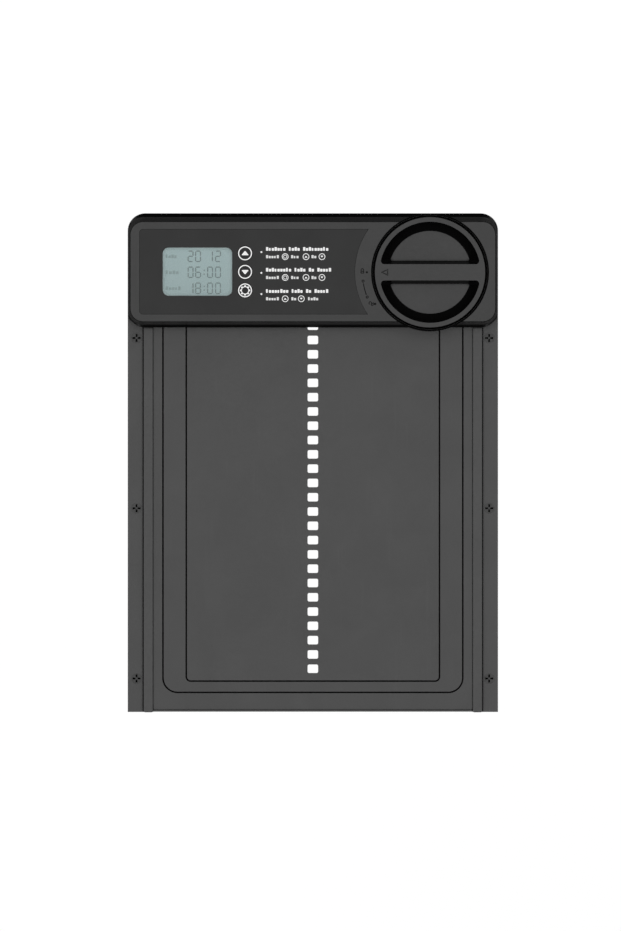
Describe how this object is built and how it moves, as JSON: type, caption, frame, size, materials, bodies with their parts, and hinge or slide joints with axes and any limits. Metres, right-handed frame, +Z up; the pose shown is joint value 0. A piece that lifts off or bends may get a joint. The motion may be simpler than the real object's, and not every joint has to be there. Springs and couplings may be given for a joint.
{
  "type": "automatic coop door",
  "caption": "Wall-hung sliding coop door: sheet frame, embossed leaf with rack slots, and a control housing with display, keys, battery cap and a geared sprocket drive.",
  "frame": {"origin": "centre of the wall-screw pattern, on the wall plane at the back of the frame plate", "axes": "+X to the right as seen from the front, +Y into the wall, along the wall screws, +Z up, the way the door leaf opens"},
  "size_m": [0.297, 0.0655, 0.4003],
  "materials": {
    "coated_sheet": "fine matte anthracite powder coat on aluminium sheet",
    "coated_leaf": "fine matte anthracite powder coat on aluminium sheet",
    "strip_plastic": "smooth matte",
    "bearing_plastic": "slick white acetal",
    "black_screw": "black zinc",
    "zinc_screw": "bright zinc",
    "housing_plastic": "fine moulded grain",
    "label_film": "satin printed film",
    "clear_lens": "clear, glossy",
    "display_glass": "reflective liquid crystal",
    "inner_plastic": "moulded matte",
    "circuit_board": "solder mask",
    "chip_plastic": "moulded epoxy",
    "key_plastic": "satin",
    "cap_plastic": "fine moulded grain",
    "seal_rubber": "soft matte",
    "cell_jacket": "glossy sleeve",
    "plated_spring": "nickel plate",
    "gear_plastic": "natural acetal",
    "shaft_steel": "ground",
    "bush_bronze": "sintered",
    "motor_steel": "plated can",
    "wire_jacket": "soft jacket"
  },
  "bodies": {
    "frame": {"back_plate": "coated_sheet", "left_side_rail": "coated_sheet", "right_side_rail": "coated_sheet", "left_guide_strip": "strip_plastic", "right_guide_strip": "strip_plastic", "backing_shoe": "bearing_plastic", "wall_screws": "black_screw", "housing_back": "housing_plastic", "housing_front": "housing_plastic", "housing_screws": "zinc_screw", "cover_screws": "zinc_screw", "label_panel": "label_film", "lcd_window": "clear_lens", "lcd_module": "display_glass", "lcd_holder": "inner_plastic", "control_board": "circuit_board", "board_components": "chip_plastic", "board_screws": "zinc_screw", "tact_switches": "chip_plastic", "battery_tub": "inner_plastic", "tub_seal": "seal_rubber", "tub_screws": "zinc_screw", "battery_cells": "cell_jacket", "battery_springs": "plated_spring", "battery_contacts": "plated_spring", "gear_pins": "shaft_steel", "gearbox_case": "inner_plastic", "gearbox_cover": "inner_plastic", "gearbox_screws": "zinc_screw", "drive_mount_screws": "zinc_screw", "outboard_bearing": "bearing_plastic", "shaft_bushes": "bush_bronze", "drive_motor": "motor_steel", "motor_screws": "zinc_screw", "battery_leads": "wire_jacket", "motor_leads": "wire_jacket"},
    "leaf": {"door_panel": "coated_leaf"},
    "sprocket": {"drive_sprocket": "gear_plastic", "output_gear": "gear_plastic", "output_shaft": "shaft_steel", "shaft_clip": "shaft_steel"},
    "middle_wheel": {"compound_gear_2": "gear_plastic"},
    "fast_wheel": {"compound_gear_1": "gear_plastic"},
    "motor_rotor": {"motor_pinion": "bush_bronze", "motor_shaft": "shaft_steel"},
    "cap": {"battery_cap": "cap_plastic", "cap_oring": "seal_rubber"},
    "up_key": {"key_up": "key_plastic"},
    "down_key": {"key_down": "key_plastic"},
    "set_key": {"key_set": "key_plastic"}
  },
  "joints": [
    {"name": "leaf_slide", "type": "slide", "parent": "frame", "child": "leaf", "axis": [0, 0, 1], "range_m": [0, 0.29]},
    {"name": "sprocket_spin", "type": "hinge", "parent": "frame", "child": "sprocket", "pos_m": [0, -0.02322, 0.16939], "axis": [1, 0, 0], "continuous": true},
    {"name": "middle_wheel_spin", "type": "hinge", "parent": "frame", "child": "middle_wheel", "pos_m": [0, -0.0262, 0.18266], "axis": [1, 0, 0], "continuous": true},
    {"name": "fast_wheel_spin", "type": "hinge", "parent": "frame", "child": "fast_wheel", "pos_m": [0, -0.0247, 0.19406], "axis": [1, 0, 0], "continuous": true},
    {"name": "motor_spin", "type": "hinge", "parent": "frame", "child": "motor_rotor", "pos_m": [0, -0.0247, 0.20406], "axis": [1, 0, 0], "continuous": true},
    {"name": "cap_turn", "type": "hinge", "parent": "frame", "child": "cap", "pos_m": [0.094, 0, 0.1893], "axis": [0, -1, 0], "range_deg": [0, 30]},
    {"name": "up_key_press", "type": "slide", "parent": "frame", "child": "up_key", "axis": [0, 1, 0], "range_m": [0, 0.0004], "stiffness_N_per_m": 200},
    {"name": "down_key_press", "type": "slide", "parent": "frame", "child": "down_key", "axis": [0, 1, 0], "range_m": [0, 0.0004], "stiffness_N_per_m": 200},
    {"name": "set_key_press", "type": "slide", "parent": "frame", "child": "set_key", "axis": [0, 1, 0], "range_m": [0, 0.0004], "stiffness_N_per_m": 200}
  ],
  "couplings": [
    {"joint": "sprocket_spin", "follows": "leaf_slide", "rad_per_m": 60.882},
    {"joint": "middle_wheel_spin", "follows": "leaf_slide", "rad_per_m": -146.12},
    {"joint": "fast_wheel_spin", "follows": "leaf_slide", "rad_per_m": 526.02},
    {"joint": "motor_spin", "follows": "leaf_slide", "rad_per_m": -2104.1}
  ]
}
